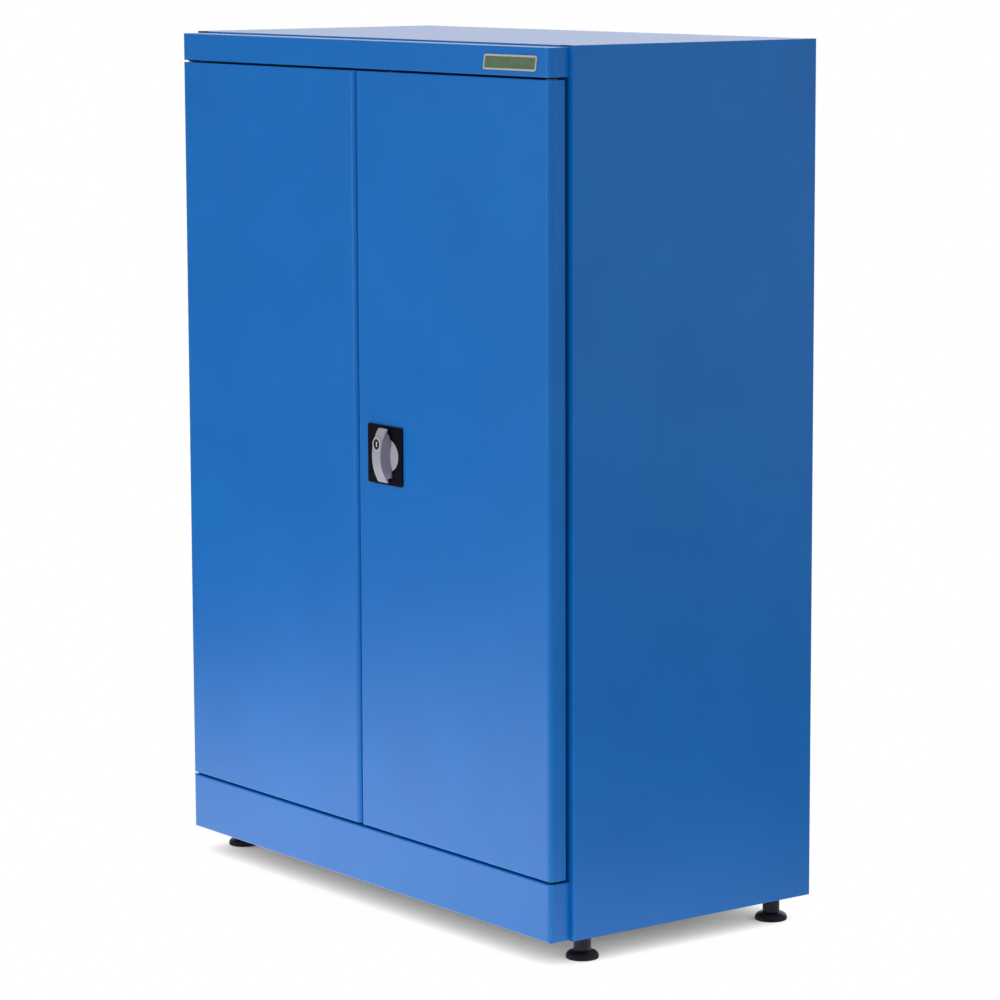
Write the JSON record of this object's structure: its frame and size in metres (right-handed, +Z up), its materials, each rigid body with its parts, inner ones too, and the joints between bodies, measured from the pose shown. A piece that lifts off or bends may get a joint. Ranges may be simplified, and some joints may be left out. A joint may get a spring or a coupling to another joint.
{
  "type": "tool cabinet with doors",
  "caption": "Free-standing sheet-steel tool cabinet with two flush swing doors, a rotary handle with a three-point lock, inner shelves, a plinth and screw-in levelling feet.",
  "frame": {"origin": "on the floor, at the middle of the overall width and depth", "axes": "+X to the right as seen from the front, +Y to the back, +Z up; the doors face -Y"},
  "size_m": [0.76, 0.4012, 1.04],
  "materials": {
    "blue_paint": "satin powder coat with a fine orange peel",
    "galvanised": "galvanised sheet",
    "zinc_steel": "bright zinc plate",
    "black_steel": "blackened, satin",
    "black_plastic": "fine-grained moulding",
    "die_cast": "silver-grey lacquer on a zinc casting",
    "nylon": "natural moulding",
    "black_rubber": "matte",
    "badge_enamel": "green enamel with a silver rim"
  },
  "bodies": {
    "cabinet": {"left_side_panel": "blue_paint", "right_side_panel": "blue_paint", "roof_panel": "blue_paint", "floor_panel": "blue_paint", "back_panel": "blue_paint", "header_fascia": "blue_paint", "plinth": "blue_paint", "badge_plate": "badge_enamel", "left_base_rail": "zinc_steel", "right_base_rail": "zinc_steel", "foot_nuts": "zinc_steel", "front_left_upright": "galvanised", "front_right_upright": "galvanised", "rear_left_upright": "galvanised", "rear_right_upright": "galvanised", "lower_shelf": "galvanised", "upper_shelf": "galvanised", "lower_shelf_clips": "zinc_steel", "upper_shelf_clips": "zinc_steel", "upper_pivot_bushes": "black_plastic", "lower_pivot_bushes": "black_plastic", "bolt_sockets": "nylon", "door_buffers": "black_rubber", "back_rivets": "zinc_steel"},
    "left_door": {"left_door_skin": "blue_paint", "left_door_stiffener": "blue_paint", "left_pivot_pins": "zinc_steel", "left_pivot_brackets": "zinc_steel"},
    "right_door": {"right_door_skin": "blue_paint", "right_door_stiffener": "blue_paint", "right_pivot_pins": "zinc_steel", "right_pivot_brackets": "zinc_steel", "handle_plate": "black_plastic", "neck_nut": "zinc_steel", "lock_case": "zinc_steel", "lock_case_screws": "zinc_steel", "rod_guides": "nylon"},
    "handle": {"handle_grip": "die_cast", "spindle": "zinc_steel", "lock_cylinder": "black_steel", "drive_cam": "zinc_steel", "spindle_spacer": "zinc_steel", "latch_tongue": "zinc_steel", "tongue_screw": "zinc_steel"},
    "key_plug": {"key_plug": "black_steel"},
    "upper_rod": {"upper_rod": "zinc_steel"},
    "lower_rod": {"lower_rod": "zinc_steel"},
    "front_left_foot": {"front_left_foot": "black_plastic", "front_left_foot_spindle": "zinc_steel"},
    "front_right_foot": {"front_right_foot": "black_plastic", "front_right_foot_spindle": "zinc_steel"},
    "rear_left_foot": {"rear_left_foot": "black_plastic", "rear_left_foot_spindle": "zinc_steel"},
    "rear_right_foot": {"rear_right_foot": "black_plastic", "rear_right_foot_spindle": "zinc_steel"}
  },
  "joints": [
    {"name": "left_door_swing", "type": "hinge", "parent": "cabinet", "child": "left_door", "pos_m": [-0.362, -0.1726, 0.55], "axis": [0, 0, -1], "range_deg": [0, 175]},
    {"name": "right_door_swing", "type": "hinge", "parent": "cabinet", "child": "right_door", "pos_m": [0.362, -0.1726, 0.55], "axis": [0, 0, 1], "range_deg": [0, 175]},
    {"name": "handle_turn", "type": "hinge", "parent": "right_door", "child": "handle", "pos_m": [0.0613, -0.1846, 0.555], "axis": [0, 1, 0], "range_deg": [0, 90]},
    {"name": "key_turn", "type": "hinge", "parent": "handle", "child": "key_plug", "pos_m": [0.0613, -0.1946, 0.569], "axis": [0, 1, 0], "range_deg": [0, 90]},
    {"name": "upper_rod_slide", "type": "slide", "parent": "right_door", "child": "upper_rod", "axis": [0, 0, 1], "range_m": [0, 0.0198]},
    {"name": "lower_rod_slide", "type": "slide", "parent": "right_door", "child": "lower_rod", "axis": [0, 0, -1], "range_m": [0, 0.0198]},
    {"name": "front_left_foot_height", "type": "slide", "parent": "cabinet", "child": "front_left_foot", "axis": [0, 0, 1], "range_m": [-0.008, 0.01]},
    {"name": "front_right_foot_height", "type": "slide", "parent": "cabinet", "child": "front_right_foot", "axis": [0, 0, 1], "range_m": [-0.008, 0.01]},
    {"name": "rear_left_foot_height", "type": "slide", "parent": "cabinet", "child": "rear_left_foot", "axis": [0, 0, 1], "range_m": [-0.008, 0.01]},
    {"name": "rear_right_foot_height", "type": "slide", "parent": "cabinet", "child": "rear_right_foot", "axis": [0, 0, 1], "range_m": [-0.008, 0.01]}
  ],
  "couplings": [
    {"joint": "upper_rod_slide", "follows": "handle_turn", "m_per_rad": 0.012604},
    {"joint": "lower_rod_slide", "follows": "handle_turn", "m_per_rad": 0.012604}
  ]
}
